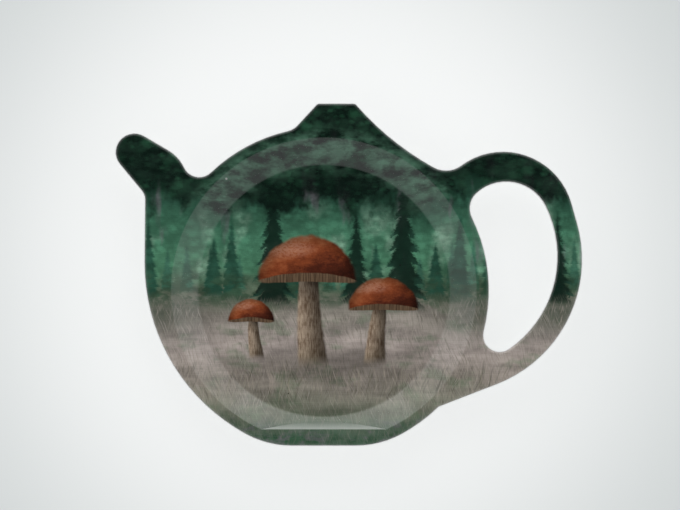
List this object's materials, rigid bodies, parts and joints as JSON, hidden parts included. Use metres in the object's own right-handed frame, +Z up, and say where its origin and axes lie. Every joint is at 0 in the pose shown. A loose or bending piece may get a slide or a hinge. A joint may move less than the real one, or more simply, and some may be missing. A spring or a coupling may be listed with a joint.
{
  "type": "tea bag rest",
  "caption": "Flat teapot-shaped dish with a round sloping-walled well for a used tea bag, a spout, a lid knob and a finger-loop handle, printed and glazed on top.",
  "frame": {"origin": "on the axis of the round well, in the plane of the foot ring that the dish stands on", "axes": "+Z up out of the well, +X towards the handle, +Y towards the lid's knob, with the spout at -X"},
  "size_m": [0.1222, 0.0895, 0.0096],
  "materials": {
    "white_melamine": "smooth moulded melamine, soft gloss",
    "printed_paper": "printed woodland scene, soaked through with melamine",
    "clear_melamine": "clear, high gloss"
  },
  "bodies": {
    "root": {"dish_body": "white_melamine", "printed_foil": "printed_paper", "clear_glaze": "clear_melamine"}
  },
  "joints": []
}
